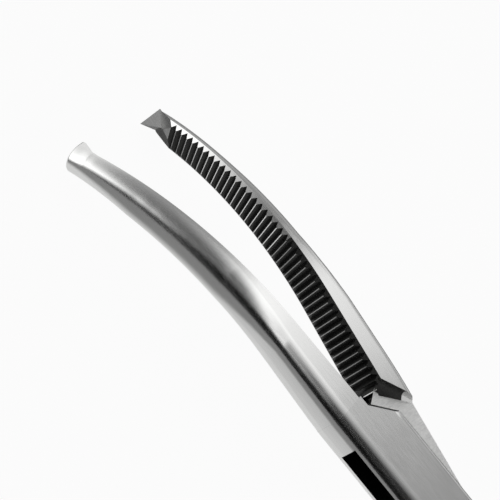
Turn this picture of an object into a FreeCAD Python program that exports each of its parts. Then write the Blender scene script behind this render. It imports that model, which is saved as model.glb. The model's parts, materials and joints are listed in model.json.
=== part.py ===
import FreeCAD, Part
import math
import os

# A curved box lock artery forceps, serrated along both jaws, with one tooth at the tip
# of the through arm and two at the tip of the box arm. Sizes are in millimetres.
# Both arms are drawn in the instrument's own plane with the jaws shut: the pivot is the
# origin, +Y runs to the tips and +Z is the convex side. The box arm's jaw lies at -X and
# its ring at +X, and the through arm's the other way round. The arms are then opened
# and laid down.

# Jaws
jaw_length = 58.7          # pivot to tip, along the curved centre line
jaw_straight = 28.3        # pivot to the start of the bend
jaw_bend_radius = 55.0     # of the centre line, bending down
jaw_tip_depth = 2.1        # gripping face to back, at the tip
jaw_tip_half_height = 1.65
jaw_tip_round = 1.55       # edge rounding of the back, at the tip
face_bevel = 0.5           # broken edges along the gripping face

# Serrations
groove_pitch = 0.9
groove_width = 0.8
groove_depth = 0.42
groove_first = 55.0        # pivot to the through arm's front groove, along the centre line
groove_count = 44
mesh_clearance = 0.03      # between the ridges of one jaw and the valleys of the other

# Teeth at the tips
tooth_height = 1.75        # of the single tooth, from the plane where the jaws meet
tooth_offset = 0.2         # the single tooth's ridge lies this far above mid-height
tooth_root = 1.8           # the ridge rises from the face this far behind the tip
seat_depth = 1.2           # of the seats for the outer teeth, at the tip's corners
seat_reach = 2.85          # the seats start this far behind the tip
seat_land = 0.83           # half width of the face left between the seats, at their start
outer_tooth_height = 0.75
outer_tooth_root = 1.7     # the outer teeth start to rise this far behind their ends
outer_tooth_blunt = 0.4    # length of their blunt ends
tooth_clearance = 0.1
box_tip_setback = 0.48     # the box arm's jaw ends this far short of the other
box_tip_bevel = 0.25       # broken edge between that end and the jaw's back

# Box lock
box_half_width = 4.45
box_half_height = 2.45
box_round = 1.7            # edge rounding
cheek_front = 16.8         # pivot to the front corner of a cheek
cheek_undercut = 1.3       # how far a cheek's end slopes back, from its face to the slot
shoulder_top = 17.9        # pivot to the upper edge of the other arm's shoulder
shoulder_foot = 16.15      # pivot to the foot of that shoulder, at the web
shoulder_foot_slant = 0.6  # of the foot, where 1 is 45 degrees like the upper edge
slot_front = 17.2          # pivot to the slot's end wall, on the middle line
slot_slant = 0.75          # of the end wall, where 1 is 45 degrees
jaw_root = 17.5            # pivot to where the jaws start to taper
web_half_thickness = 1.05
slot_side_clearance = 0.04
slot_end_clearance = 0.25

# Pivot pin
pin_radius = 1.6
pin_running_clearance = 0.04
pin_end_bevel = 0.12

# Shanks
shank_length = 76.6        # pivot to the ring's middle line, along the instrument
shank_end_x = 10.0         # sideways place of that end, jaws shut
shank_half_width = 2.0
shank_half_height = 1.8
shank_round = 1.4

# Finger rings
ring_inner_half_width = 9.5
ring_inner_half_length = 12.0
ring_bar_radius = 2.05
ring_end_share = 0.85      # radius of the ring's ends, as a share of its half width
ring_join = 45.0           # degrees round the ring's front end to the shank
ring_lean = 5.0            # degrees that the ring's long axis turns outwards

# Ratchet
ratchet_place = 60.0       # pivot to the middle of the ratchet arms
ratchet_width = 5.5
ratchet_half_height = 1.7
ratchet_overlap = 2.2      # of the two arms, jaws shut
ratchet_gap = 0.1          # between the two rows of teeth as they pass
ratchet_pitch = 1.6
ratchet_tooth_depth = 0.6
ratchet_tooth_count = 3

# At rest
opening_angle = 13.2       # degrees between the jaws

os.makedirs("parts", exist_ok=True)

V = FreeCAD.Vector
X_AXIS = V(1, 0, 0)
Y_AXIS = V(0, 1, 0)
Z_AXIS = V(0, 0, 1)
FAR = 4 * box_half_width

# The ridges stand past the plane where the jaws meet, so that they interlock.
ridge_land = groove_pitch - groove_width
ridge_entry = groove_depth - (ridge_land / 2 + mesh_clearance) * groove_depth / (groove_width / 2)
crest = ridge_entry / 2


def placed(shape, placement):
    """Copy of a shape, moved by a placement."""
    copy = shape.copy()
    copy.Placement = placement.multiply(shape.Placement)
    return copy


def prism(points, depth):
    """Solid from a flat closed outline, pushed along a vector."""
    return Part.Face(Part.makePolygon(points + points[:1])).extrude(depth)


def block(low, high):
    """Box between two corners."""
    return Part.makeBox(high.x - low.x, high.y - low.y, high.z - low.z, low)


def half_space(point, normal):
    """A large block on the side of a plane that its normal points to."""
    turn = FreeCAD.Rotation(Z_AXIS, normal)
    return placed(block(V(-FAR, -FAR, 0), V(FAR, FAR, FAR)), FreeCAD.Placement(point, turn))


def opposite(shape):
    """Half a turn about the pivot, which swaps the front right and the back left."""
    return placed(shape, FreeCAD.Placement(V(0, 0, 0), FreeCAD.Rotation(Z_AXIS, 180)))


def bar_section(inner, outer, half_height, outer_round, inner_cut, bevelled):
    """Closed outline in the XZ plane with rounded outer corners.

    The inner corners are cut at 45 degrees where bevelled is true, and rounded where not.
    """
    side = 1 if outer > inner else -1
    corners = []
    for x, turn, size in ((inner, side, inner_cut), (outer, -side, outer_round)):
        corners.append((x, turn, size, size * (1 - math.sqrt(0.5))))
    (x_in, turn_in, cut, cut_mid), (x_out, turn_out, rounding, round_mid) = corners
    edges = []
    for end in (1, -1):
        z = end * half_height
        a = V(x_in, 0, z - end * cut)
        b = V(x_in + turn_in * cut, 0, z)
        c = V(x_out + turn_out * rounding, 0, z)
        d = V(x_out, 0, z - end * rounding)
        mid_in = V(x_in + turn_in * cut_mid, 0, z - end * cut_mid)
        mid_out = V(x_out + turn_out * round_mid, 0, z - end * round_mid)
        corner_in = Part.makeLine(a, b) if bevelled else Part.Arc(a, mid_in, b).toShape()
        edges.append([corner_in, Part.makeLine(b, c), Part.Arc(c, mid_out, d).toShape()])
    outer_line = Part.makeLine(V(x_out, 0, half_height - rounding), V(x_out, 0, rounding - half_height))
    inner_line = Part.makeLine(V(x_in, 0, cut - half_height), V(x_in, 0, half_height - cut))
    top, bottom = edges
    return Part.Wire([inner_line] + top + [outer_line] + bottom[::-1])


# Jaws: half a rounded bar that tapers and bends towards the tip.

def jaw_place(s):
    """Frame on the centre line at s: X across, Y along the jaw, Z out of its convex side."""
    slope = max(s - jaw_straight, 0.0) / jaw_bend_radius
    run = min(s, jaw_straight) + jaw_bend_radius * math.sin(slope)
    drop = jaw_bend_radius * (1 - math.cos(slope))
    return FreeCAD.Placement(V(0, run, -drop), FreeCAD.Rotation(X_AXIS, -math.degrees(slope)))


def jaw_body(side):
    """Tapering jaw before its grooves, at side -1 or +1 of the plane where the jaws meet."""
    sections = 9
    wires = []
    for i in range(sections):
        t = i / (sections - 1)
        depth = box_half_width + t * (jaw_tip_depth - box_half_width)
        half_height = box_half_height + t * (jaw_tip_half_height - box_half_height)
        rounding = box_round + t * (jaw_tip_round - box_round)
        wire = bar_section(-side * crest, side * depth, half_height, rounding, face_bevel, True)
        wires.append(placed(wire, jaw_place(jaw_root + t * (jaw_length - jaw_root))))
    return Part.makeLoft(wires, True, False)


def grooves(side, shift):
    """V grooves across the gripping face, moved along the jaw by shift."""
    half = groove_width / 2
    reach = box_half_height + face_bevel
    face = -side * crest
    outline = [
        V(face + side * groove_depth, 0, -reach),
        V(face, half, -reach),
        V(face - side * groove_depth, half, -reach),
        V(face - side * groove_depth, -half, -reach),
        V(face, -half, -reach),
    ]
    groove = prism(outline, V(0, 0, 2 * reach))
    return [placed(groove, jaw_place(groove_first + shift - i * groove_pitch))
            for i in range(groove_count)]


# Tips, drawn in the frame of the tip: X across, Y forward, Z out of the convex side.

tip = jaw_place(jaw_length)
tip_corner = jaw_tip_half_height - tooth_offset
seat_forward = seat_depth / (tooth_root + tip_corner * (seat_reach - tooth_root) / seat_land)
seat_sideways = seat_forward * (seat_reach - tooth_root) / seat_land


def seat(half, lift):
    """Space on the -X side of one of the two sloping seats, whose floor is moved to -X by lift."""
    normal = V(-1, seat_forward, half * seat_sideways)
    return half_space(V(-lift, -tooth_root, tooth_offset), normal)


def single_tooth(grow, front):
    """Pyramid tooth pointing to -X, made larger by grow, reaching front past the tip's end."""
    apex = V(-tooth_height, 0, tooth_offset)
    rear = V(0, -tooth_root, tooth_offset)
    solid = block(V(-tooth_height - grow, -seat_reach, tooth_offset - 2 * tip_corner),
                  V(seat_depth, front, tooth_offset + 2 * tip_corner))
    for half in (-1, 1):
        corner = V(seat_depth, 0, tooth_offset + half * tip_corner)
        outwards = (corner - apex).cross(rear - apex).normalize()
        if outwards.z * half < 0:
            outwards = outwards * -1
        solid = solid.cut(half_space(rear + outwards * grow, outwards))
    return solid


def outer_tooth(half):
    """Upper or lower tooth of the box arm's tip, before the notch between them is cut."""
    low = V(-seat_depth, -seat_reach, -jaw_tip_half_height)
    high = V(outer_tooth_height, -box_tip_setback, jaw_tip_half_height)
    rise = V(outer_tooth_height, outer_tooth_root - outer_tooth_blunt, 0)
    root = V(0, -box_tip_setback - outer_tooth_root, 0)
    behind = half_space(root, V(rise.y, -rise.x, 0))
    other_half = half_space(V(0, 0, tooth_offset), V(0, 0, -half))
    past_seat = half_space(V(-tooth_clearance, -tooth_root, tooth_offset),
                           V(1, -seat_forward, -half * seat_sideways))
    return block(low, high).cut([other_half, past_seat, behind])


def past_box_tip():
    """Space past the end of the box arm's jaw, with its bevel."""
    end = block(V(-FAR, -box_tip_setback, -FAR), V(FAR, FAR, FAR))
    bevel = half_space(V(box_tip_bevel - jaw_tip_depth, -box_tip_setback, 0), V(-1, 1, 0))
    return [end, bevel]


# Box lock

def rounded_bar(start, end):
    """Full width bar of the box lock between two distances along the instrument."""
    wire = bar_section(-box_half_width, box_half_width, box_half_height, box_round, box_round, False)
    wire.translate(V(0, start, 0))
    return Part.Face(wire).extrude(V(0, end - start, 0))


def beyond_cheek():
    """Space in front of the cheek ends at the front right, which slope back to the slot."""
    slope = cheek_undercut / (box_half_height - web_half_thickness)
    outline = []
    for z in (FAR, web_half_thickness, -web_half_thickness, -FAR):
        outline.append(V(0, cheek_front - (box_half_height - abs(z)) * slope, z))
    outline.append(V(0, cheek_front + 2 * slope * FAR, -FAR))
    outline.append(V(0, cheek_front + 2 * slope * FAR, FAR))
    return prism(outline, V(FAR, -FAR, 0))


def behind_shoulder(side):
    """Space above or below the web at the front right, up to the wall of the shoulder."""
    wires = []
    for share in (0, 2):
        z = side * (web_half_thickness + share * (box_half_height - web_half_thickness))
        front = shoulder_foot + share * (shoulder_top - shoulder_foot)
        slant = shoulder_foot_slant + share * (1 - shoulder_foot_slant)
        inner = -box_half_width / 4
        outer = 1.5 * box_half_width
        corners = [V(inner, 0, z), V(outer, 0, z), V(outer, front - slant * outer, z),
                   V(inner, front - slant * inner, z)]
        wires.append(Part.makePolygon(corners + corners[:1]))
    return Part.makeLoft(wires, True, True)


def pass_through(end_gap, half_thickness):
    """Slanting band through the box, which opens at its front right and back left."""
    end = slot_front - end_gap
    reach = slot_slant * FAR
    outline = [V(-FAR, end - reach, -half_thickness), V(FAR, end + reach, -half_thickness),
               V(FAR, reach - end, -half_thickness), V(-FAR, -reach - end, -half_thickness)]
    return prism(outline, V(0, 0, 2 * half_thickness))


def on_pivot(radius, half_length):
    """Round bar along the pivot."""
    return Part.makeCylinder(radius, 2 * half_length, V(0, 0, -half_length))


# Shank, ring and ratchet arm, drawn at the back right for the box arm. The through arm
# has the same ones turned over.

shank_start_x = box_half_width / 2
shank_swing = math.atan2(shank_end_x - shank_start_x, shank_length - jaw_root)
ring_half_width = ring_inner_half_width + ring_bar_radius
ring_half_length = ring_inner_half_length + ring_bar_radius
ring_end_radius = ring_end_share * ring_half_width


def shank():
    """Shank from the box lock to the ring's middle line, with its taper near the lock."""
    wires = []
    for t in (0.0, 0.14, 0.36, 1.0):
        thinned = min(1.0, t / 0.36)
        half_width = box_half_width / 2 + thinned * (shank_half_width - box_half_width / 2)
        half_height = box_half_height + thinned * (shank_half_height - box_half_height)
        rounding = box_round + thinned * (shank_round - box_round)
        inner_round = face_bevel + thinned * (shank_round - face_bevel)
        middle = V(shank_start_x + t * (shank_end_x - shank_start_x),
                   -jaw_root - t * (shank_length - jaw_root), 0)
        turn = FreeCAD.Rotation(Z_AXIS, math.degrees(shank_swing) * thinned)
        wire = bar_section(-half_width, half_width, half_height, rounding, inner_round, False)
        wires.append(placed(wire, FreeCAD.Placement(middle, turn)))
    return Part.makeLoft(wires[:3], True, False).fuse(Part.makeLoft(wires[2:], True, True))


def ring_frame():
    """Frame at the middle of the finger ring, with Y along its long axis."""
    turn = FreeCAD.Rotation(Z_AXIS, ring_lean)
    join = math.radians(ring_join)
    to_join = V(-ring_end_radius * math.sin(join),
                ring_half_length - ring_end_radius * (1 - math.cos(join)), 0)
    return FreeCAD.Placement(V(shank_end_x, -shank_length, 0) - turn.multVec(to_join), turn)


def ring():
    """Oval finger ring: a round bar carried round four arcs that meet smoothly."""
    end_rise = ring_half_length - ring_end_radius
    side_radius = ring_half_length ** 2 + ring_half_width ** 2 - 2 * ring_half_length * ring_end_radius
    side_radius = side_radius / (2 * (ring_half_width - ring_end_radius))
    side_reach = side_radius - ring_half_width
    meet = math.degrees(math.atan2(end_rise, side_reach))
    arcs = [(V(-side_reach, 0, 0), side_radius, -meet, 2 * meet),
            (V(0, end_rise, 0), ring_end_radius, meet, 180 - 2 * meet),
            (V(side_reach, 0, 0), side_radius, 180 - meet, 2 * meet),
            (V(0, -end_rise, 0), ring_end_radius, 180 + meet, 180 - 2 * meet)]
    solids = []
    for centre, radius, start, span in arcs:
        section = Part.Face(Part.Wire(Part.makeCircle(ring_bar_radius, V(radius, 0, 0), Y_AXIS)))
        solid = section.revolve(V(0, 0, 0), Z_AXIS, span)
        solids.append(placed(solid, FreeCAD.Placement(centre, FreeCAD.Rotation(Z_AXIS, start))))
    return placed(solids[0].fuse(solids[1:]), ring_frame())


def ratchet_arm():
    """Upper arm from the shank past the middle, with hooked teeth under its end."""
    x_end = -ratchet_overlap / 2
    x_root = shank_start_x + (ratchet_place - jaw_root) * math.tan(shank_swing)
    low = V(x_end, -ratchet_place - ratchet_width / 2, ratchet_gap / 2)
    arm = block(low, V(x_root, -ratchet_place + ratchet_width / 2, ratchet_half_height))
    valleys = []
    for i in range(ratchet_tooth_count):
        near = V(x_end + i * ratchet_pitch, low.y, low.z)
        far = near + V(ratchet_pitch, 0, 0)
        valleys.append(prism([near, far, far + V(0, 0, ratchet_tooth_depth)], V(0, ratchet_width, 0)))
    return arm.cut(valleys)


def handle():
    """Shank, ring and ratchet arm in one piece."""
    return shank().fuse([ring(), ratchet_arm()])


# The three pieces, jaws shut

def through_arm():
    """Male arm: its web passes through the box and joins its jaw to its shank."""
    jaw = jaw_body(1).cut(grooves(1, 0) + [placed(seat(half, 0), tip) for half in (-1, 1)])
    jaw = jaw.fuse(placed(single_tooth(0, 0), tip))
    shoulder = rounded_bar(0, jaw_root).common(block(V(crest, 0, -FAR), V(FAR, FAR, FAR)))
    web = rounded_bar(-jaw_root, jaw_root).common(pass_through(slot_end_clearance, web_half_thickness))
    turned_over = FreeCAD.Placement(V(0, 0, 0), FreeCAD.Rotation(Y_AXIS, 180))
    body = web.fuse([shoulder, opposite(shoulder), jaw, placed(handle(), turned_over)])
    spaces = [behind_shoulder(1), behind_shoulder(-1)]
    body = body.cut(spaces + [opposite(space) for space in spaces] + grooves(1, 0)[-3:])
    return body.cut(on_pivot(pin_radius + pin_running_clearance, FAR))


def box_arm():
    """Female arm: its two cheeks box in the other arm's web."""
    relief_start = groove_first + groove_pitch / 2 - jaw_length
    relief = block(V(-crest - tooth_clearance, relief_start, -FAR), V(FAR, FAR, FAR))
    cuts = [placed(space, tip) for space in past_box_tip() + [relief]]
    jaw = jaw_body(-1).cut(grooves(-1, groove_pitch / 2) + cuts)
    jaw = jaw.fuse([placed(outer_tooth(half), tip) for half in (-1, 1)])
    jaw = jaw.cut(placed(single_tooth(tooth_clearance, tooth_height), tip))
    box = rounded_bar(-jaw_root, jaw_root).cut([beyond_cheek(), opposite(beyond_cheek())])
    body = box.fuse([jaw, handle()])
    slot = pass_through(0, web_half_thickness + slot_side_clearance)
    return body.cut([slot.common(rounded_bar(-jaw_root, jaw_root)), on_pivot(pin_radius, FAR)])


def pivot_pin():
    """Riveted pin, ground flush with both cheeks."""
    pin = on_pivot(pin_radius, box_half_height)
    rims = [edge for edge in pin.Edges if len(edge.Vertexes) == 1]
    return pin.makeChamfer(pin_end_bevel, rims)


# Opened and laid down on its tips and rings, convex side up

half_open = opening_angle / 2


def lay_angle():
    """Slope of the instrument's plane when the tips and the rings touch the table."""
    tip_low = tip.multVec(V(0, 0, -jaw_tip_half_height))
    frame = ring_frame()
    turn = FreeCAD.Rotation(Z_AXIS, half_open)
    angle = math.radians(half_open + ring_lean)
    reach = (ring_half_length - ring_end_radius) * math.cos(angle) + ring_end_radius
    ring_low_y = turn.multVec(frame.Base).y - reach
    tip_low_y = turn.multVec(tip_low).y
    return math.degrees(math.atan2(-ring_bar_radius - tip_low.z, tip_low_y - ring_low_y))


def opened(shape, turn):
    """A shut piece turned about the pivot by an angle, then tilted to lie on the table."""
    tilt = FreeCAD.Placement(V(0, 0, 0), FreeCAD.Rotation(X_AXIS, lay_angle()))
    return placed(placed(shape, FreeCAD.Placement(V(0, 0, 0), FreeCAD.Rotation(Z_AXIS, turn))), tilt)


pieces = {
    "box_arm": opened(box_arm(), half_open),
    "through_arm": opened(through_arm(), -half_open),
    "pivot_pin": opened(pivot_pin(), half_open),
}
bounds = Part.makeCompound(list(pieces.values())).optimalBoundingBox(False, False)
pivot = V(-bounds.Center.x, -bounds.Center.y, -bounds.ZMin)

for name, piece in pieces.items():
    piece.translate(pivot)
    piece.exportStep("parts/" + name + ".step")
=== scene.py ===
import json
import math

import bpy
import numpy as np
from mathutils import Matrix


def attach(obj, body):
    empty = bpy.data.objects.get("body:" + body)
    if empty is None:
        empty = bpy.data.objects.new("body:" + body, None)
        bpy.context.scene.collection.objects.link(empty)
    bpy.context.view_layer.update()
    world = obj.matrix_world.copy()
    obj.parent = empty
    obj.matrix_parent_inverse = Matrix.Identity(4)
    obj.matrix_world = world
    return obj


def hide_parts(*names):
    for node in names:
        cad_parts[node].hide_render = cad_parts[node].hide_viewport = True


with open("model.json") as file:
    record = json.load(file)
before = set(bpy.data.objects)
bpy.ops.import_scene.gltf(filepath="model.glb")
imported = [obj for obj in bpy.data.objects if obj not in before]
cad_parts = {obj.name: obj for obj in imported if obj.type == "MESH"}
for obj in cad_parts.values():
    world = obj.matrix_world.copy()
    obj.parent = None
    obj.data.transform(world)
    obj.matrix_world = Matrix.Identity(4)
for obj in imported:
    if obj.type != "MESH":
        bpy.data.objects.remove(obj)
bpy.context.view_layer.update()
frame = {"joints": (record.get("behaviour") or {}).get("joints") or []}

# Pose of the drawing
# Both arms are drawn in millimetres with the jaws shut: the pivot is the origin, +Y runs
# to the tips and +Z is the convex side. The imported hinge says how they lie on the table.

pivot = np.array(frame["joints"][0]["pos_m"])
hinge_axis = frame["joints"][0]["axis"]
lay_angle = math.atan2(hinge_axis[1], -hinge_axis[2])
half_open = math.radians(6.6)


def turn_about_z(angle):
    """Rotation matrix about Z: x' = x cos a - y sin a, y' = x sin a + y cos a."""
    cosine, sine = math.cos(angle), math.sin(angle)
    return np.array([[cosine, -sine, 0], [sine, cosine, 0], [0, 0, 1]])


def turn_about_x(angle):
    """Rotation matrix about X: y' = y cos a - z sin a, z' = y sin a + z cos a."""
    cosine, sine = math.cos(angle), math.sin(angle)
    return np.array([[1, 0, 0], [0, cosine, -sine], [0, sine, cosine]])


lay_turn = {side: turn_about_x(lay_angle) @ turn_about_z(side * half_open) for side in (-1, 1)}


def at_rest(points, side):
    """Points of the box arm (side 1) or the through arm (side -1), from the drawing to the frame.

    They turn about the pivot by half the opening, tilt by the lay angle and move to the pivot.
    """
    return pivot + np.asarray(points, float) @ lay_turn[side].T / 1000


# Camera
# A long lens, level with the photograph's: it looks down on the convex side from the left
# of the tips, at about 43 degrees above the table. Its place and its turn, which is an axis
# times an angle, are given in the box arm's drawing.

camera_place = [-92.974, 39.831, 88.515]
camera_turn = np.array([-0.261, 0.804, 0.651])
focal_pixels = 1204.05
photo_width = 500
sensor_width = 36
nearest_seen = 0.005

# the rows are I + sin a K + (1 - cos a) K K, where K is the cross product with the axis
turn_angle = np.linalg.norm(camera_turn)
axis_x, axis_y, axis_z = camera_turn / turn_angle
cross = np.array([[0, -axis_z, axis_y], [axis_z, 0, -axis_x], [-axis_y, axis_x, 0]])
camera_rows = np.eye(3) + math.sin(turn_angle) * cross + (1 - math.cos(turn_angle)) * cross @ cross
camera_data = bpy.data.cameras.new("camera")
camera_data.sensor_width = sensor_width
camera_data.lens = focal_pixels / photo_width * sensor_width
camera_data.clip_start = nearest_seen
camera = bpy.data.objects.new("camera", camera_data)
camera.matrix_world = Matrix.LocRotScale(
    at_rest(camera_place, 1).tolist(), Matrix((lay_turn[1] @ camera_rows.T).tolist()), None)
bpy.context.scene.collection.objects.link(camera)
bpy.context.scene.camera = camera

# Satin stainless steel of both arms
# Forged martensitic steel, ground, then brushed along its length and tumbled to a satin
# finish. It shows soft wide reflections, broken by faint marks along the arm.


def linear(code):
    """sRGB hex colour as linear RGBA: ((c + 0.055) / 1.055) ** 2.4 above the toe."""
    values = [int(code[i:i + 2], 16) / 255 for i in (1, 3, 5)]
    return [v / 12.92 if v <= 0.04045 else ((v + 0.055) / 1.055) ** 2.4 for v in values] + [1.0]


def add(tree, kind, links=(), **settings):
    """A node with its settings, linked to (input, source node, source output) triples.

    The setting named inputs holds the values of the node's inputs, by number or name.
    """
    node = tree.nodes.new(kind)
    for name, value in settings.items():
        if name == "inputs":
            for key, item in value.items():
                node.inputs[key].default_value = item
        else:
            setattr(node, name, value)
    for key, source, output in links:
        tree.links.new(source.outputs[output], node.inputs[key])
    return node


def ramp(tree, source, output, stops):
    """A colour ramp with (position, level) stops, where a level is a grey or a linear colour."""
    node = add(tree, "ShaderNodeValToRGB", [(0, source, output)])
    while len(node.color_ramp.elements) < len(stops):
        node.color_ramp.elements.new(0.5)
    for element, (position, level) in zip(node.color_ramp.elements, stops):
        element.position = position
        element.color = level if isinstance(level, list) else (level, level, level, 1)
    return node


def steel(name, colour, roughness, spread, mark_width, mark_length, depth, turn, mottle):
    """Worked steel: marks of a width and length in mm, along an arm turned by an angle.

    spread is how far the marks move the roughness, depth their height in mm, and mottle the
    share by which they darken the colour. Blotches about 4 mm wide are mixed in.
    """
    material = bpy.data.materials.new(name)
    material.use_nodes = True
    tree = material.node_tree
    shader = tree.nodes["Principled BSDF"]
    place = add(tree, "ShaderNodeTexCoord")
    mark_size = (mark_width / 1000, mark_length / 1000, mark_width / 1000)
    along_arm = add(tree, "ShaderNodeMapping", [(0, place, "Object")], vector_type="TEXTURE",
                    inputs={"Rotation": (0, 0, turn), "Scale": mark_size})
    marks = add(tree, "ShaderNodeTexNoise", [(0, along_arm, 0)],
                inputs={"Scale": 1.0, "Detail": 3.0, "Roughness": 0.6})
    blotches = add(tree, "ShaderNodeTexNoise", [(0, place, "Object")],
                   inputs={"Scale": 260.0, "Detail": 2.0})
    wear = add(tree, "ShaderNodeMix", [("A", marks, 0), ("B", blotches, 0)], inputs={"Factor": 0.3})
    gloss = ramp(tree, wear, 0, [(0.3, roughness - spread), (0.7, roughness + spread)])
    tree.links.new(gloss.outputs[0], shader.inputs["Roughness"])
    relief = add(tree, "ShaderNodeBump", [("Height", marks, 0)],
                 inputs={"Strength": 1.0, "Distance": depth / 1000})
    tree.links.new(relief.outputs[0], shader.inputs["Normal"])
    light = linear(colour)
    dark = [value * (1 - mottle) for value in light[:3]] + [1.0]
    tone = ramp(tree, wear, 0, [(0.36, dark), (0.62, light)])
    tree.links.new(tone.outputs[0], shader.inputs["Base Color"])
    shader.inputs["Metallic"].default_value = 1.0
    return material


arm_steel = {}
for side, name in ((1, "satin_steel_box"), (-1, "satin_steel_through")):
    arm_steel[side] = steel(name, "#E4E4E3", 0.19, 0.05, 0.12, 4.0, 0.0014, side * half_open, 0.06)
# ground and left unpolished: grey and dull beside the satin back
land_steel = steel("ground_land_steel", "#9C9C9B", 0.34, 0.08, 0.12, 0.12, 0.004, 0.0, 0.3)
# rough steel with a dark colour: painted shade on the grooves' facing walls, in the slot and in the other
# recesses
painted_shade_steel = steel("dark_painted_shade", "#444443", 0.36, 0.08, 0.12, 0.12, 0.006, 0.0, 0.5)

# Jaws
# Each is half of a rounded bar that tapers and bends to the tip. V grooves are cut across
# the gripping face with a form cutter, and the face's edges are broken with a file.

jaw_length = 58.7
jaw_straight = 28.3
jaw_bend_radius = 55.0
jaw_root = 17.5
jaw_taper_soft = 5.0       # the taper sets in over this length
jaw_tip_depth = 2.1
jaw_tip_half_height = 1.65
jaw_tip_round = 1.55
bar_half_width = 4.45
bar_half_height = 2.45
bar_round = 1.7
face_bevel = 0.5
groove_pitch = 0.9
groove_width = 0.8
groove_depth = 0.42
groove_first = 55.0
groove_count = 44
crest = 0.168
bevel_bright = 36.0        # nearer the root than this, the broken edges get the grooves' painted shade too
hand_ground_start = 27.0   # from here on the back is hand ground to two wider curves,
hand_ground_soft = 9.0     # which set in over this length
high_reach = 2.4           # and reach this far across above
low_reach = 1.9            # and this far below
back_drop = 1.05           # they meet this far below the middle
back_drop_fade = 49.0      # until here, and come back to it
back_drop_soft = 8.0       # over this length
end_round_back = 0.8       # share of a tip's rounding that comes off its back
end_round_side = 0.55      # and off its top and bottom
front_clearance = 0.1      # past the grooves the face clears the other jaw's crests by this
tooth_edge = 0.06          # broken edge of the outer teeth
least_flat = 0.05          # left beside every rounding
ring_spacing = 0.3         # past the grooves
root_gap = 0.02            # beside the box the through jaw's face stays this far off the middle,
root_gap_reach = 0.15      # up to this far past the jaw's root
sharp_angle = math.radians(28)


def jaw_points(x, s, z):
    """Place of (x across, s along, z up) on the bent centre line.

    It is straight up to jaw_straight, then an arc: y = R sin q, drop = R (1 - cos q), with
    the angle q = (s - straight) / R, and z stays square to it.
    """
    q = np.maximum(s - jaw_straight, 0) / jaw_bend_radius
    y = np.minimum(s, jaw_straight) + jaw_bend_radius * np.sin(q) + z * np.sin(q)
    return np.stack([x + 0 * y, y, z * np.cos(q) - jaw_bend_radius * (1 - np.cos(q))], -1)


def half_section(face, inner, depth, half_height, high, low, bevel):
    """Outline of half a bar: rows of (x, z) points, one row for each value of the arguments.

    The face lies at inner, its broken edges run from (face, H - bevel) to (face + bevel, H).
    The back is a quarter ellipse at the top and one at the bottom, each (height, width), with
    a flat between them. Points beside each corner keep the flats flat when shaded smooth.
    """
    corner = np.maximum(inner, face + bevel)
    wide = half_height - np.maximum(face + bevel - inner, 0)
    flat_high, flat_low = half_height - high[0], low[0] - half_height
    halves = []
    for (tall, across), side in ((high, 1), (low, -1)):
        level = depth - across - corner
        points = [(inner, side * wide * share) for share in (0.0, 0.34, 0.67, 1.0)]
        points.append((corner, side * half_height))
        points += [(corner + level * share, side * half_height) for share in (0.04, 0.5, 0.96)]
        for q in np.linspace(0, math.pi / 2, 13):
            points.append((depth - across * (1 - math.sin(q)),
                           side * (half_height - tall * (1 - math.cos(q)))))
        near, opposite = (flat_high, flat_low)[::side]
        points += [(depth, near + (opposite - near) * share) for share in (0.06, 0.25)]
        halves.append([np.stack(np.broadcast_arrays(*values), -1) for values in zip(*points)])
    (high_x, high_z), (low_x, low_z) = halves
    return (np.concatenate([high_x, depth[:, None], low_x[:, :0:-1]], -1),
            np.concatenate([high_z, (flat_high + flat_low)[:, None] / 2, low_z[:, :0:-1]], -1))


def ease(value, start, soft):
    """0 before start, then value - start, joined by a parabola over the length soft."""
    joined = np.clip(value - start + soft / 2, 0, soft)
    return np.maximum(value - start - soft / 2, 0) + joined * joined / (2 * soft)


def shade(mesh):
    """Smooth shading, apart from edges sharper than sharp_angle."""
    mesh.shade_smooth()
    mesh.set_sharp_from_angle(angle=sharp_angle)


def solid(name, points, faces, material):
    """Mesh object from its points and faces, turned right side out by its volume's sign."""
    mesh = bpy.data.meshes.new(name)
    mesh.from_pydata(np.asarray(points).tolist(), [], faces)
    mesh.calc_loop_triangles()
    corners = np.zeros(len(mesh.loop_triangles) * 3, np.int32)
    mesh.loop_triangles.foreach_get("vertices", corners)
    a, b, c = np.asarray(points)[corners].reshape(-1, 3, 3).transpose(1, 0, 2)
    if np.einsum("ij,ij->", a, np.cross(b, c)) < 0:
        mesh.flip_normals()
    mesh.materials.append(material)
    shade(mesh)
    piece = bpy.data.objects.new(name, mesh)
    bpy.context.scene.collection.objects.link(piece)
    return piece


def skin(name, rings, side, material):
    """Closed skin through rings of points, with flat ends, shaded smooth between its edges."""
    count, around = rings.shape[:2]
    start = np.arange((count - 1) * around)
    beside = start - start % around + (start + 1) % around
    faces = np.stack([start, beside, beside + around, start + around], 1).tolist()
    faces += [list(range(around))[::-1], list(range((count - 1) * around, count * around))]
    return solid(name, at_rest(rings.reshape(-1, 3), side), faces, material)


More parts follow.
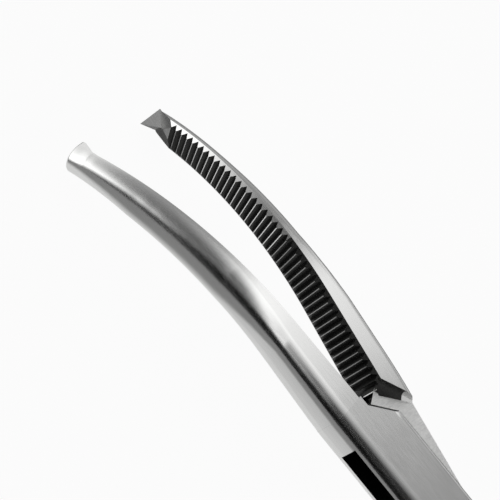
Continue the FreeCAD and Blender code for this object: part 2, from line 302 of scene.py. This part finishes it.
def jaw_outlines(shift, front, first, end, end_round, teeth):
    """Places along a jaw and its outline at each, where the face drops into a V at a groove.

    The drop is depth * (1 - |s - middle| / half width) inside a groove and 0 on the lands.
    Outlines stand at each groove's two edges and its middle. Past front the face stays down,
    until it rises for the teeth: by height over rise, from root.
    """
    middles = groove_first + shift - groove_pitch * np.arange(groove_count)
    half = groove_width / 2
    root, rise, height = teeth
    down = crest + front_clearance
    rounded = end - end_round
    plain = np.arange(groove_first + shift + half + ring_spacing, rounded, ring_spacing)
    corners = [first, root - down * rise / height, root + rise]
    s = np.concatenate([middles - half, middles, middles + half, corners, plain])
    s = np.unique(np.round(s[(s >= first) & (s < rounded - 0.02)], 4))
    bend = np.linspace(0, math.pi / 2, 9)[:-1] if end_round > 0.05 else np.array([0.0])
    s = np.concatenate([s, end - end_round * (1 - np.sin(bend)), [end]])
    square = np.zeros(len(s) - len(bend) - 1)
    inset = np.concatenate([square, end_round * (1 - np.cos(bend)), [end_round]])
    gap = np.abs(s[:, None] - middles[None]).min(1)
    inner = groove_depth * np.maximum(1 - gap / half, 0) - crest
    raised = np.clip((root - s) * height / rise, -height, down)
    inner = np.where(s > front, raised, inner)
    on_tooth = (s > front) & (inner < down - 0.01)
    face = np.where(s > front, np.minimum(inner, down - face_bevel), -crest)
    face = np.where(on_tooth, inner, face)
    bevel = np.where(on_tooth, tooth_edge, face_bevel)
    taper = ease(s, jaw_root, jaw_taper_soft) / (jaw_length - jaw_root)
    depth = bar_half_width + taper * (jaw_tip_depth - bar_half_width) - inset * end_round_back
    half_height = bar_half_height + taper * (jaw_tip_half_height - bar_half_height)
    half_height = half_height - inset * end_round_side
    flat = depth - np.maximum(face + bevel, inner) - least_flat
    rounding = np.minimum(bar_round + taper * (jaw_tip_round - bar_round), half_height - least_flat)
    rounding = np.minimum(rounding, flat)
    ground = np.clip((s - hand_ground_start) / hand_ground_soft, 0, 1)
    drop = back_drop * (1 - np.clip((s - back_drop_fade) / back_drop_soft, 0, 1))
    high = (rounding + ground * (half_height + drop - least_flat - rounding),
            np.minimum(rounding + ground * (high_reach - rounding), flat))
    low = (rounding + ground * (half_height - drop - least_flat - rounding),
           np.minimum(rounding + ground * (low_reach - rounding), flat))
    if first < jaw_root:
        inner = np.where(s < jaw_root + root_gap_reach, np.maximum(inner, root_gap), inner)
    x, z = half_section(face, inner, depth, half_height, high, low, bevel)
    return s, x, z


def tip_points(points):
    """From the tip's own frame (across, forward, up) to the drawing."""
    q = (jaw_length - jaw_straight) / jaw_bend_radius
    base = jaw_points(0.0, np.array(jaw_length), 0.0)
    x, y, z = np.asarray(points, float).T
    return base + np.stack([x, y * math.cos(q) + z * math.sin(q), z * math.cos(q) - y * math.sin(q)], -1)


def between_planes(planes):
    """Convex solid from its planes, each (point, outward normal): points and faces.

    A corner is where three planes meet on the inner side of all the others, and a face is
    the corners on one plane, ordered by their angle about the face's middle.
    """
    points = np.array([point for point, normal in planes], float)
    normals = np.array([normal for point, normal in planes], float)
    normals /= np.linalg.norm(normals, axis=1)[:, None]
    offsets = (points * normals).sum(1)
    corners = []
    for i in range(len(planes)):
        for j in range(i):
            for k in range(j):
                three = normals[[i, j, k]]
                if abs(np.linalg.det(three)) > 1e-6:
                    corner = np.linalg.solve(three, offsets[[i, j, k]])
                    if (normals @ corner - offsets).max() < 1e-6:
                        corners.append(corner)
    corners = np.unique(np.round(corners, 5), axis=0)
    faces = []
    for normal, offset in zip(normals, offsets):
        on_plane = np.flatnonzero(np.abs(corners @ normal - offset) < 1e-4)
        if len(on_plane) > 2:
            spokes = corners[on_plane] - corners[on_plane].mean(0)
            across = np.cross(normal, spokes[0])
            order = np.argsort(np.arctan2(spokes @ across, spokes @ spokes[0]))
            faces.append(on_plane[order].tolist())
    return corners, faces


def cut(piece, *cutters):
    """Takes the cutters' solids out of a piece and deletes them."""
    for cutter in cutters:
        modifier = piece.modifiers.new("cut", "BOOLEAN")
        modifier.object = cutter
        modifier.operation = "DIFFERENCE"
        modifier.solver = "EXACT"
        modifier.material_mode = "TRANSFER"
    graph = bpy.context.evaluated_depsgraph_get()
    mesh = bpy.data.meshes.new_from_object(piece.evaluated_get(graph))
    piece.modifiers.clear()
    uncut = piece.data
    piece.data = mesh
    bpy.data.meshes.remove(uncut)
    for cutter in cutters:
        bpy.data.meshes.remove(cutter.data)
    shade(mesh)


def finish_face(jaw, s, x):
    """Gives the grooves' flanks the dark steel that paints their shade: faces between two outlines of
    different drop.

    Near the root the broken edges get the same painted shade, and the lands there stay as they
    were ground. The gripping face is the first three and last three places round an outline,
    and the broken edges are the places next to them.
    """
    jaw.data.materials.append(painted_shade_steel)
    jaw.data.materials.append(land_steel)
    around = x.shape[1]
    flank = np.repeat(np.abs(np.diff(x[:, 0])) > 0.05, around)
    near_root = np.repeat((s[1:] < bevel_bright) & (s[1:] > jaw_root), around)
    place = np.tile(np.arange(around), len(s) - 1)
    edge = (place == 3) | (place == around - 4)
    gripping = (place < 3) | (place >= around - 3)
    index = np.zeros(len(jaw.data.polygons), np.int32)
    painted_shade_faces = (flank & gripping) | (near_root & edge)
    # painted shade on the grooves' flanks and, near the root, on the broken edges
    index[:len(flank)] = np.where(near_root & gripping & ~flank, 2, painted_shade_faces)
    jaw.data.polygons.foreach_set("material_index", index)


# Box arm's jaw
# It ends a little short of the other jaw, with its end rounded over. Two pointed teeth
# stand on either side of a notch that takes the other arm's tooth.

tooth_height = 1.75
tooth_offset = 0.2
tooth_root = 1.8
tooth_clearance = 0.1
seat_depth = 1.2
seat_reach = 2.85
seat_land = 0.83
box_tip_setback = 0.48
box_tip_round = 0.25
outer_tooth_height = 0.75
outer_tooth_root = 1.7
outer_tooth_blunt = 0.4
outer_tooth_foot = 0.09    # the seats' cutters start this far below the other jaw's crests
clear = 3.0                # cutters reach this far out from the tip's middle
past_tip = 1.0             # and this far past its end,
overlap = 0.001            # and the two seats' cutters overlap by this much each
tip_corner = jaw_tip_half_height - tooth_offset
seat_forward = seat_depth / (tooth_root + tip_corner * (seat_reach - tooth_root) / seat_land)
seat_sideways = seat_forward * (seat_reach - tooth_root) / seat_land


def tooth_sides(grow):
    """The two sloping sides of the single tooth, as planes: through its ridge and a corner."""
    apex = np.array([-tooth_height, 0, tooth_offset])
    rear = np.array([0, -tooth_root, tooth_offset])
    sides = []
    for half in (-1, 1):
        corner = np.array([seat_depth, 0, tooth_offset + half * tip_corner])
        normal = np.cross(corner - apex, rear - apex)
        normal *= half * np.sign(normal[2]) / np.linalg.norm(normal)
        sides.append((rear + normal * grow, normal))
    return sides


grooves_end = groove_first + groove_pitch / 2 + 0.01
box_tip = jaw_length - box_tip_setback
outer_teeth = (box_tip - outer_tooth_root, outer_tooth_root - outer_tooth_blunt, outer_tooth_height)
s, x, z = jaw_outlines(groove_pitch / 2, grooves_end, jaw_root, box_tip, box_tip_round, outer_teeth)
box_jaw = skin("box_jaw", jaw_points(-x, s[:, None], z), 1, arm_steel[1])
finish_face(box_jaw, s, x)
tip_ends = [((0, past_tip, 0), (0, 1, 0)), ((0, -seat_reach, 0), (0, -1, 0))]
corners, faces = between_planes(tooth_sides(tooth_clearance) + [
    ((seat_depth, 0, 0), (1, 0, 0)), ((-clear, 0, 0), (-1, 0, 0))] + tip_ends)
# the notch's walls get the dark steel: painted shade in the notch
cutters = [solid("notch", at_rest(tip_points(corners), 1), faces, painted_shade_steel)]
for half in (-1, 1):
    corners, faces = between_planes([
        ((-tooth_clearance, -tooth_root, tooth_offset), (-1, seat_forward, half * seat_sideways)),
        ((0, 0, tooth_offset - half * overlap), (0, 0, -half)), ((0, 0, half * clear), (0, 0, half)),
        ((-crest - outer_tooth_foot, 0, 0), (-1, 0, 0)), ((clear, 0, 0), (1, 0, 0))] + tip_ends)
    cutters.append(solid("seat", at_rest(tip_points(corners), 1), faces, land_steel))
cut(box_jaw, *cutters)
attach(box_jaw, "box_arm")
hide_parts("box_arm")

# Box
# The bar of the box lock, slotted by spark erosion or broaching and closed over the other
# arm's web when hot. Its cheeks end in a slant that slopes back to the slot.

cheek_front = 16.8
cheek_undercut = 1.3
cheek_break = 0.55         # the edges of a cheek's end are broken this far back,
cheek_break_slope = 0.4    # at this slope
web_half_thickness = 1.05
slot_side_clearance = 0.04
slot_end_clearance = 0.25
slot_front = 17.2
slot_slant = 0.75
cutter_reach = 20.0


def bar_ring():
    """Ring of the full bar: (x, z) of quarter circles at its corners and points beside them."""
    q = np.linspace(0, math.pi / 2, 11)
    arc_x = bar_half_width - bar_round * (1 - np.sin(q))
    arc_z = bar_half_height - bar_round * (1 - np.cos(q))
    flat_z = (bar_half_height - bar_round) * np.array([0.94, 0.5, 0.0])
    flat_x = (bar_half_width - bar_round) * np.array([0.0, 0.5, 0.97])
    quarter_x = np.concatenate([flat_x, arc_x, np.full(3, bar_half_width)])
    quarter_z = np.concatenate([np.full(3, bar_half_height), arc_z, flat_z])
    half_x = np.concatenate([quarter_x, quarter_x[-2::-1]])
    half_z = np.concatenate([quarter_z, -quarter_z[-2::-1]])
    return np.concatenate([half_x, -half_x[-2:0:-1]]), np.concatenate([half_z, half_z[-2:0:-1]])


def prism(outline, push):
    """Points and faces of a flat outline pushed along a vector."""
    low = np.array(outline, float)
    count = len(low)
    faces = [list(range(count))[::-1], list(range(count, 2 * count))]
    faces += [[i, (i + 1) % count, (i + 1) % count + count, i + count] for i in range(count)]
    return np.concatenate([low, low + push]), faces


def box_tool(drawn, turned, material):
    """Cutter of the box from a prism, turned half round about the pivot where turned is -1."""
    points, faces = drawn
    return solid("cutter", at_rest(points * [turned, turned, 1], 1), faces, material)


ring_x, ring_z = bar_ring()
ring_y = np.linspace(-jaw_root, jaw_root, 15)[:, None]
rings = np.stack(np.broadcast_arrays(ring_x, ring_y, ring_z), -1)
box = skin("box", rings, 1, arm_steel[1])
undercut = cheek_undercut / (bar_half_height - web_half_thickness)
past_end = cheek_front + 2 * undercut * cutter_reach
cheek_outline = [(0, cheek_front - (bar_half_height - abs(z)) * undercut, z)
                 for z in (cutter_reach, web_half_thickness, -web_half_thickness, -cutter_reach)]
cheek_outline += [(0, past_end, -cutter_reach), (0, past_end, cutter_reach)]
across_end = np.array([cutter_reach, -cutter_reach, 0])
cheek_end = prism(cheek_outline, across_end)
slanted = slot_slant * cutter_reach
slot_half = web_half_thickness + slot_side_clearance
slot_outline = [(-cutter_reach, slot_front - slanted, -slot_half),
                (cutter_reach, slot_front + slanted, -slot_half),
                (cutter_reach, slanted - slot_front, -slot_half),
                (-cutter_reach, -slanted - slot_front, -slot_half)]
# the slot's walls get the dark steel: painted shade inside the slot
cutters = [box_tool(cheek_end, 1, arm_steel[1]), box_tool(cheek_end, -1, arm_steel[1]),
           box_tool(prism(slot_outline, np.array([0, 0, 2 * slot_half])), 1, painted_shade_steel)]
break_foot = bar_half_height - cheek_break_slope * (1 + cheek_break)
# the broken edges get the dark steel, which paints a line of shade along each cheek's end
for half in (-1, 1):
    break_outline = [(0, cheek_front - cheek_break, half * bar_half_height),
                     (0, cheek_front - cheek_break, half * (bar_half_height + 0.5)),
                     (0, cheek_front + 1, half * (bar_half_height + 0.5)),
                     (0, cheek_front + 1, half * break_foot)]
    cutters += [box_tool(prism(break_outline, across_end), turned, painted_shade_steel) for turned in (-1, 1)]
cut(box, *cutters)
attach(box, "box_arm")

# Through arm's jaw and shoulder
# The jaw's end has two ground seats beside a sharp pyramid tooth. Its root stops at a wall
# above and below the web, which is milled with a small end mill.

through_tip_round = 0.04
no_teeth = (jaw_length + 9, 1.0, 1.0)  # past the jaw's end, so that nothing rises
seat_cutter_width = 2.0
seat_cutter_length = 6.0
shoulder_top = 17.9
shoulder_foot = 16.15
shoulder_foot_slant = 0.6
shoulder_start = 12.0
shoulder_hollow = 0.35
shoulder_bright = 2.6      # the wall's outer end, past this, keeps the bar's steel; nearer, it gets painted shade
shoulder_back = 5.0        # the walls' cutters reach back to here
web_overlap = 0.01         # and this far into the web


def seat_tool(half):
    """Cutter of one seat: everything on the -X side of its sloping floor, near the tip."""
    normal = np.array([-1, seat_forward, half * seat_sideways])
    corners, faces = between_planes([
        ((0, -tooth_root, tooth_offset), -normal), ((-seat_cutter_width, 0, 0), (-1, 0, 0)),
        ((0, past_tip, 0), (0, 1, 0)), ((0, -seat_cutter_length, 0), (0, -1, 0)),
        ((0, 0, clear), (0, 0, 1)), ((0, 0, -clear), (0, 0, -1))])
    return solid("seat", at_rest(tip_points(corners), -1), faces, land_steel)


def wall_tool(half):
    """Cutter above or below the web, whose front is ruled from the foot line to the top line.

    At share t of the height the wall is y = front(t) - slant(t) x + 4 hollow t (1 - t), where
    front and slant are linear in t and the hollow ends at t = 1. Short of shoulder_bright the
    wall gets the dark steel, which paints shade on it.
    """
    t = np.linspace(0, 1.6, 33)[:, None]
    across = np.linspace(-1, 7, 17)[None]
    height = half * (web_half_thickness - web_overlap + t * (bar_half_height - web_half_thickness))
    front = shoulder_foot + t * (shoulder_top - shoulder_foot)
    front = front + 4 * shoulder_hollow * t * np.maximum(1 - t, 0)
    slant = shoulder_foot_slant + t * (1 - shoulder_foot_slant)
    wall = np.stack(np.broadcast_arrays(across, front - slant * across, height), -1)
    back = np.stack(np.broadcast_arrays(across, shoulder_back, height), -1)
    rings = np.concatenate([wall, back[:, ::-1]], 1)
    cutter = skin("wall", rings, -1, arm_steel[-1])
    cutter.data.materials.append(painted_shade_steel)
    # short of shoulder_bright the wall gets the dark steel: painted shade on the wall
    wall_shade_faces = (rings[:-1, :, 0] < shoulder_bright).ravel()
    cutter.data.polygons.foreach_set("material_index", np.append(wall_shade_faces, [False, False]).astype(np.int32))
    return cutter


s, x, z = jaw_outlines(0.0, jaw_length, shoulder_start, jaw_length, through_tip_round, no_teeth)
through_jaw = skin("through_jaw", jaw_points(x, s[:, None], z), -1, arm_steel[-1])
finish_face(through_jaw, s, x)
cut(through_jaw, seat_tool(-1), seat_tool(1), wall_tool(-1), wall_tool(1))
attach(through_jaw, "through_arm")
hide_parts("through_arm")

corners, faces = between_planes(tooth_sides(0) + [
    ((seat_depth, 0, 0), (1, 0, 0)), ((0, 0, 0), (0, 1, 0)),
    ((-clear, 0, 0), (-1, 0, 0)), ((0, -seat_reach, 0), (0, -1, 0))])
tooth = solid("single_tooth", at_rest(tip_points(corners), -1), faces, arm_steel[-1])
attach(tooth, "through_arm")

# Web
# The thin middle of the through arm, milled on both faces to slide between the cheeks. The
# mill's marks run across it and scatter the light, so it looks pale and matt.

web_proud = 0.004          # its edges stand this far past the bar's side
web_shade_from = 6.0      # past this its edge on the slot side gets the dark steel: painted shade of the slot
web_steel = steel("milled_steel", "#FAFAF9", 0.55, 0.1, 0.16, 1.0, 0.04, math.pi / 2 - half_open, 0.18)
edge_z = np.linspace(web_half_thickness, -web_half_thickness, 9)
bulge = np.maximum(np.abs(edge_z) - (bar_half_height - bar_round), 0)
edge_x = bar_half_width + web_proud - bar_round + np.sqrt(bar_round ** 2 - bulge ** 2)
top_x = np.linspace(-edge_x[0], edge_x[0], 12)[1:-1]
top_z = np.full(len(top_x), web_half_thickness)
web_x = np.concatenate([edge_x, top_x[::-1], -edge_x[::-1], top_x])
web_z = np.concatenate([edge_z, -top_z, edge_z[::-1], top_z])
web_end = slot_front - slot_end_clearance
y_high = np.minimum(jaw_root, slot_slant * web_x + web_end)
y_low = np.maximum(-jaw_root, slot_slant * web_x - web_end)
web_share = np.linspace(0, 1, 9)[:, None]
rings = np.stack(np.broadcast_arrays(web_x, y_low + (y_high - y_low) * web_share, web_z), -1)
web = skin("web", rings, -1, web_steel)
face_middle = (rings[1:] + rings[:-1]).reshape(-1, 3) / 2
on_slot_side = face_middle[:, 0] * face_middle[:, 1] < 0
at_edge = np.abs(face_middle[:, 0]) > edge_x[0] - 0.1
hidden = on_slot_side & at_edge & (np.abs(face_middle[:, 1]) > web_shade_from)
# the web's edges deep in the slot get the dark steel: painted shade of the slot
web.data.materials.append(painted_shade_steel)
web.data.polygons.foreach_set("material_index", np.append(hidden, [True, True]).astype(np.int32))
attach(web, "through_arm")

# Shanks
# Round-edged bars that taper from the box lock and swing out to the rings. The through
# arm's shank is the same forging turned over.

shank_length = 76.6
shank_end_x = 10.0
shank_half_width = 2.0
shank_half_height = 1.8
shank_round = 1.4
shank_taper_share = 0.36   # of its length
shank_start_x = bar_half_width / 2
shank_swing = math.atan2(shank_end_x - shank_start_x, shank_length - jaw_root)


def bar_outline(half_width, half_height, outer_round, inner_round):
    """Rows of (x, z) round a bar: quarter circles at its corners and points beside them."""
    quarters = []
    for side, rounding in ((1, outer_round), (-1, inner_round)):
        flat_x, flat_z = half_width - rounding, half_height - rounding
        q = np.linspace(0, math.pi / 2, 11)
        x = [side * flat_x * share for share in (0.0, 0.5, 0.94)]
        x += [side * (flat_x + rounding * math.sin(angle)) for angle in q] + [side * half_width] * 3
        z = [half_height] * 3 + [flat_z + rounding * math.cos(angle) for angle in q]
        z += [flat_z * share for share in (0.94, 0.5, 0.0)]
        quarters.append((np.stack(np.broadcast_arrays(*x), -1), np.stack(np.broadcast_arrays(*z), -1)))
    (outer_x, outer_z), (inner_x, inner_z) = quarters
    return (np.concatenate([outer_x, outer_x[..., -2:0:-1], inner_x[..., :-1], inner_x[..., :0:-1]], -1),
            np.concatenate([outer_z, -outer_z[..., -2:0:-1], -inner_z[..., :-1], inner_z[..., :0:-1]], -1))


def shank_rings():
    """Rings of the box arm's shank: a straight middle line, turned to square with it.

    Over the first third its size goes evenly from the bar's to the shank's.
    """
    t = np.linspace(0, 1, 51)
    done = np.minimum(t / shank_taper_share, 1)
    half_width = shank_start_x + done * (shank_half_width - shank_start_x)
    half_height = bar_half_height + done * (shank_half_height - bar_half_height)
    outer_round = bar_round + done * (shank_round - bar_round)
    inner_round = face_bevel + done * (shank_round - face_bevel)
    x, z = bar_outline(half_width, half_height, outer_round, inner_round)
    q = (shank_swing * done)[:, None]
    middle = (shank_start_x + t * (shank_end_x - shank_start_x))[:, None]
    y = (-jaw_root - t * (shank_length - jaw_root))[:, None]
    return np.stack([middle + x * np.cos(q), y + x * np.sin(q), z], -1)


# Finger rings
# Oval bows bent round from the shank's end and welded, then polished.

ring_inner_half_width = 9.5
ring_inner_half_length = 12.0
ring_bar_radius = 2.05
ring_end_share = 0.85
ring_join = math.radians(45)
ring_lean = math.radians(5)


def finger_ring():
    """Rings of points round the bow: a round bar carried round four arcs that meet smoothly.

    With half width a, half length b and end radius e, the sides' radius is
    r = (a a + b b - 2 b e) / (2 (a - e)), and the arcs meet at atan2(b - e, r - a).
    """
    a = ring_inner_half_width + ring_bar_radius
    b = ring_inner_half_length + ring_bar_radius
    e = ring_end_share * a
    r = (a * a + b * b - 2 * b * e) / (2 * (a - e))
    meet = math.atan2(b - e, r - a)
    around_bar = np.linspace(0, 2 * math.pi, 33)[:-1]
    share = np.linspace(0, 1, 31)[:-1, None]
    arcs = [(a - r, 0, r, -meet, meet), (0, b - e, e, meet, math.pi - meet),
            (r - a, 0, r, math.pi - meet, math.pi + meet),
            (0, e - b, e, math.pi + meet, 2 * math.pi - meet)]
    x, y = [], []
    for middle_x, middle_y, radius, start, end in arcs:
        q = start + (end - start) * share
        reach = radius + ring_bar_radius * np.cos(around_bar)
        x.append(middle_x + reach * np.cos(q))
        y.append(middle_y + reach * np.sin(q))
    x = np.concatenate(x) + e * math.sin(ring_join)
    y = np.concatenate(y) - b + e * (1 - math.cos(ring_join))
    z = ring_bar_radius * np.sin(around_bar) + 0 * x
    cosine, sine = math.cos(ring_lean), math.sin(ring_lean)
    return np.stack([shank_end_x + x * cosine - y * sine, x * sine + y * cosine - shank_length, z], -1)


def hoop(name, rings, side, material):
    """Closed skin through rings of points that come back to the first."""
    count, around = rings.shape[:2]
    start = np.arange(count * around)
    beside = start - start % around + (start + 1) % around
    faces = np.stack([start, beside, (beside + around) % len(start), (start + around) % len(start)], 1)
    return solid(name, at_rest(rings.reshape(-1, 3), side), faces.tolist(), material)


# Ratchet arms
# Short flat arms that pass each other with hooked teeth cut across their facing sides.

ratchet_place = 60.0
ratchet_width = 5.5
ratchet_half_height = 1.7
ratchet_overlap = 2.2
ratchet_gap = 0.1
ratchet_pitch = 1.6
ratchet_tooth_depth = 0.6
ratchet_tooth_count = 3
ratchet_edge = 0.12


def ratchet_arm():
    """Profile of the arm seen along the instrument, pushed along it for its width."""
    low = ratchet_gap / 2
    end = -ratchet_overlap / 2
    root = shank_start_x + (ratchet_place - jaw_root) * math.tan(shank_swing)
    profile = [(root, ratchet_half_height), (end, ratchet_half_height), (end, low)]
    for i in range(ratchet_tooth_count):
        tooth_end = end + (i + 1) * ratchet_pitch
        profile += [(tooth_end, low + ratchet_tooth_depth), (tooth_end, low)]
    profile.append((root, low))
    start = -ratchet_place - ratchet_width / 2
    return prism([(x, start, z) for x, z in profile], np.array([0, ratchet_width, 0]))


def break_edges(piece, width):
    """Rounds the sharp edges of a piece by a width in mm."""
    modifier = piece.modifiers.new("edges", "BEVEL")
    modifier.width = width / 1000
    modifier.segments = 3
    modifier.limit_method = "ANGLE"
    modifier.angle_limit = math.radians(35)
    modifier.harden_normals = True


for side, arm in ((1, "box"), (-1, "through")):
    turned_over = np.array([side, 1, side])
    shank = skin(arm + "_shank", shank_rings() * turned_over, side, arm_steel[side])
    bow = hoop(arm + "_ring", finger_ring() * turned_over, side, arm_steel[side])
    points, faces = ratchet_arm()
    ratchet = solid(arm + "_ratchet", at_rest(points * turned_over, side), faces, arm_steel[side])
    break_edges(ratchet, ratchet_edge)
    for piece in (shank, bow, ratchet):
        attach(piece, arm + "_arm")

# Pin
# A plain pin of the same steel, pressed in, hammered over and ground flush with the cheeks.
# The wheel leaves shallower marks than the brush, and the pin looks a little darker.

pin_radius = 1.6
pin_bevel = 0.12
pin_steel = steel("ground_pin_steel", "#DADAD9", 0.2, 0.05, 0.1, 4.0, 0.001, half_open, 0.1)
pin_end = [0.6, 1.3, pin_radius - pin_bevel]
pin_side = bar_half_height - pin_bevel
pin_radii = np.array(pin_end + [pin_radius, pin_radius] + pin_end[::-1])[:, None]
pin_z = np.array([-bar_half_height] * 3 + [-pin_side, pin_side] + [bar_half_height] * 3)[:, None]
around_pin = np.linspace(0, 2 * math.pi, 65)[:-1]
pin_x, pin_y = pin_radii * np.cos(around_pin), pin_radii * np.sin(around_pin)
rings = np.stack(np.broadcast_arrays(pin_x, pin_y, pin_z), -1)
pin = skin("pin", rings, 1, pin_steel)
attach(pin, "box_arm")
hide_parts("pivot_pin")

# Table
# A sheet of matt white paper, which the camera sees bleached. A light pad under the box arm,
# narrower at the tips and hidden from the camera, lights the side of the nearer jaw.

table_size = 3.0
pad_reach = 0.05
pad_tip_reach = 0.021
pad_narrows_from = 0.05
pad_narrows_to = 0.078
table_mesh = bpy.data.meshes.new("table")
table_signs = ((-1, -1), (1, -1), (1, 1), (-1, 1))
table_corners = [(across * table_size / 2, along * table_size / 2, 0) for across, along in table_signs]
table_mesh.from_pydata(table_corners, [], [(0, 1, 2, 3)])
table = bpy.data.objects.new("table", table_mesh)
bpy.context.scene.collection.objects.link(table)
paper = bpy.data.materials.new("white_paper")
paper.use_nodes = True
paper_tree = paper.node_tree
matt = paper_tree.nodes["Principled BSDF"]
matt.inputs["Base Color"].default_value = linear("#B0B0B0")
matt.inputs["Roughness"].default_value = 0.9
matt.inputs["Specular IOR Level"].default_value = 0.1
spot = add(paper_tree, "ShaderNodeTexCoord")
across_arm = add(paper_tree, "ShaderNodeVectorMath", [(0, spot, "Object")], operation="DOT_PRODUCT",
                 inputs={1: (math.cos(half_open), math.sin(half_open), 0)})
aside = add(paper_tree, "ShaderNodeMath", [(0, across_arm, "Value")], operation="SUBTRACT",
            inputs={1: float(pivot[1]) * math.sin(half_open)})
from_middle = add(paper_tree, "ShaderNodeMath", [(0, aside, 0)], operation="ABSOLUTE")
lengthwise = add(paper_tree, "ShaderNodeSeparateXYZ", [(0, spot, "Object")])
pad_side = add(paper_tree, "ShaderNodeMapRange", [(0, lengthwise, "Y")],
               inputs={1: pad_narrows_from, 2: pad_narrows_to, 3: pad_reach, 4: pad_tip_reach})
pad_share = add(paper_tree, "ShaderNodeMath", [(0, from_middle, 0), (1, pad_side, 0)], operation="DIVIDE")
pad_level = ramp(paper_tree, pad_share, 0, [(0.2, 0.6), (0.36, 0.05)])
pad = add(paper_tree, "ShaderNodeEmission", [("Strength", pad_level, 0)])
lit = add(paper_tree, "ShaderNodeAddShader", [(0, matt, 0), (1, pad, 0)])
glow = add(paper_tree, "ShaderNodeEmission", inputs={"Strength": 1.05})
bleached = add(paper_tree, "ShaderNodeMixShader", [(1, matt, 0), (2, glow, 0)], inputs={0: 0.9})
paper_ray = add(paper_tree, "ShaderNodeLightPath")
paper_seen = add(paper_tree, "ShaderNodeMixShader",
                 [("Fac", paper_ray, "Is Camera Ray"), (1, lit, 0), (2, bleached, 0)])
paper_tree.links.new(paper_seen.outputs[0], paper_tree.nodes["Material Output"].inputs[0])
table_mesh.materials.append(paper)

# Light tent
# A tent with light and dark strips hung across it, which draw the bright and dark lines
# along the round backs of the jaws. The camera sees it plain white.

light_tent = bpy.data.worlds.new("light_tent")
bpy.context.scene.world = light_tent
light_tent.use_nodes = True
tent_tree = light_tent.node_tree
direction = add(tent_tree, "ShaderNodeTexCoord")


def part_along(axis):
    """Part of the view direction that lies along one axis of the box arm's drawing."""
    return add(tent_tree, "ShaderNodeVectorMath", [(0, direction, "Generated")], operation="DOT_PRODUCT",
               inputs={1: (lay_turn[1] @ np.array(axis)).tolist()})


forward = part_along([0, 1, 0])
overhead = add(tent_tree, "ShaderNodeMath", [(0, forward, "Value"), (1, part_along([0, 0, 1]), "Value")],
               operation="ARCTAN2")
sideways = add(tent_tree, "ShaderNodeMath", [(0, part_along([1, 0, 0]), "Value")],
               operation="MULTIPLY_ADD", inputs={1: 0.5, 2: 0.5})


def strips(stops):
    """Grey level by the angle from overhead towards the tips: stops are (degrees, level)."""
    half_turn = add(tent_tree, "ShaderNodeMath", [(0, overhead, 0)], operation="MULTIPLY_ADD",
                    inputs={1: 1 / math.pi, 2: 0.5})
    return ramp(tent_tree, half_turn, 0, [(degrees / 180 + 0.5, level) for degrees, level in stops])


far_side = strips([(-80, 0.7), (-58, 0.6), (-45, 0.1), (-18, 0.42), (-12, 0.6), (-5, 1.25), (8, 1.45),
                   (14, 0.95), (22, 0.45), (38, 0.32), (50, 0.38), (58, 0.7), (68, 1.0)])
near_side = strips([(-80, 0.7), (-58, 0.6), (-45, 0.02), (-2, 0.03), (3, 0.95), (8, 1.5), (14, 0.5),
                    (19, 0.15), (30, 0.12), (42, 0.18), (50, 0.4), (57, 1.1), (63, 1.6)])
ends = strips([(-80, 0.8), (-58, 0.7), (-45, 0.1), (-22, 0.5), (-13, 0.84), (-8, 1.1), (-2, 0.85),
               (6, 0.6), (13, 0.36), (20, 0.28), (50, 0.36), (70, 0.45)])
far_share = ramp(tent_tree, sideways, 0, [(0.30, 0.0), (0.75, 1.0)])
end_share = ramp(tent_tree, sideways, 0, [(0.865, 0.0), (0.895, 1.0)])
beyond = add(tent_tree, "ShaderNodeMix", [("Factor", end_share, 0), ("A", far_side, 0), ("B", ends, 0)])
cloth = add(tent_tree, "ShaderNodeMix", [("Factor", far_share, 0), ("A", near_side, 0), ("B", beyond, 0)])
skirt = ramp(tent_tree, sideways, 0, [(0.07, 0.03), (0.14, 1.0)])
above_skirt = add(tent_tree, "ShaderNodeMath", [(0, cloth, 0), (1, skirt, 0)], operation="MULTIPLY")
rim = ramp(tent_tree, sideways, 0, [(0.93, 0.0), (0.955, 0.36), (0.985, 0.42)])
tent_level = add(tent_tree, "ShaderNodeMath", [(0, above_skirt, 0), (1, rim, 0)], operation="MAXIMUM")
mirrored = add(tent_tree, "ShaderNodeBackground", [("Strength", tent_level, 0)],
               inputs={"Color": (1, 1, 1, 1)})
backdrop = add(tent_tree, "ShaderNodeBackground", inputs={"Strength": 1.0, "Color": (1, 1, 1, 1)})
tent_ray = add(tent_tree, "ShaderNodeLightPath")
tent_seen = add(tent_tree, "ShaderNodeMixShader",
                [("Fac", tent_ray, "Is Camera Ray"), (1, mirrored, 0), (2, backdrop, 0)])
tent_tree.links.new(tent_seen.outputs[0], tent_tree.nodes["World Output"].inputs[0])

bpy.context.scene.view_settings.view_transform = "Standard"
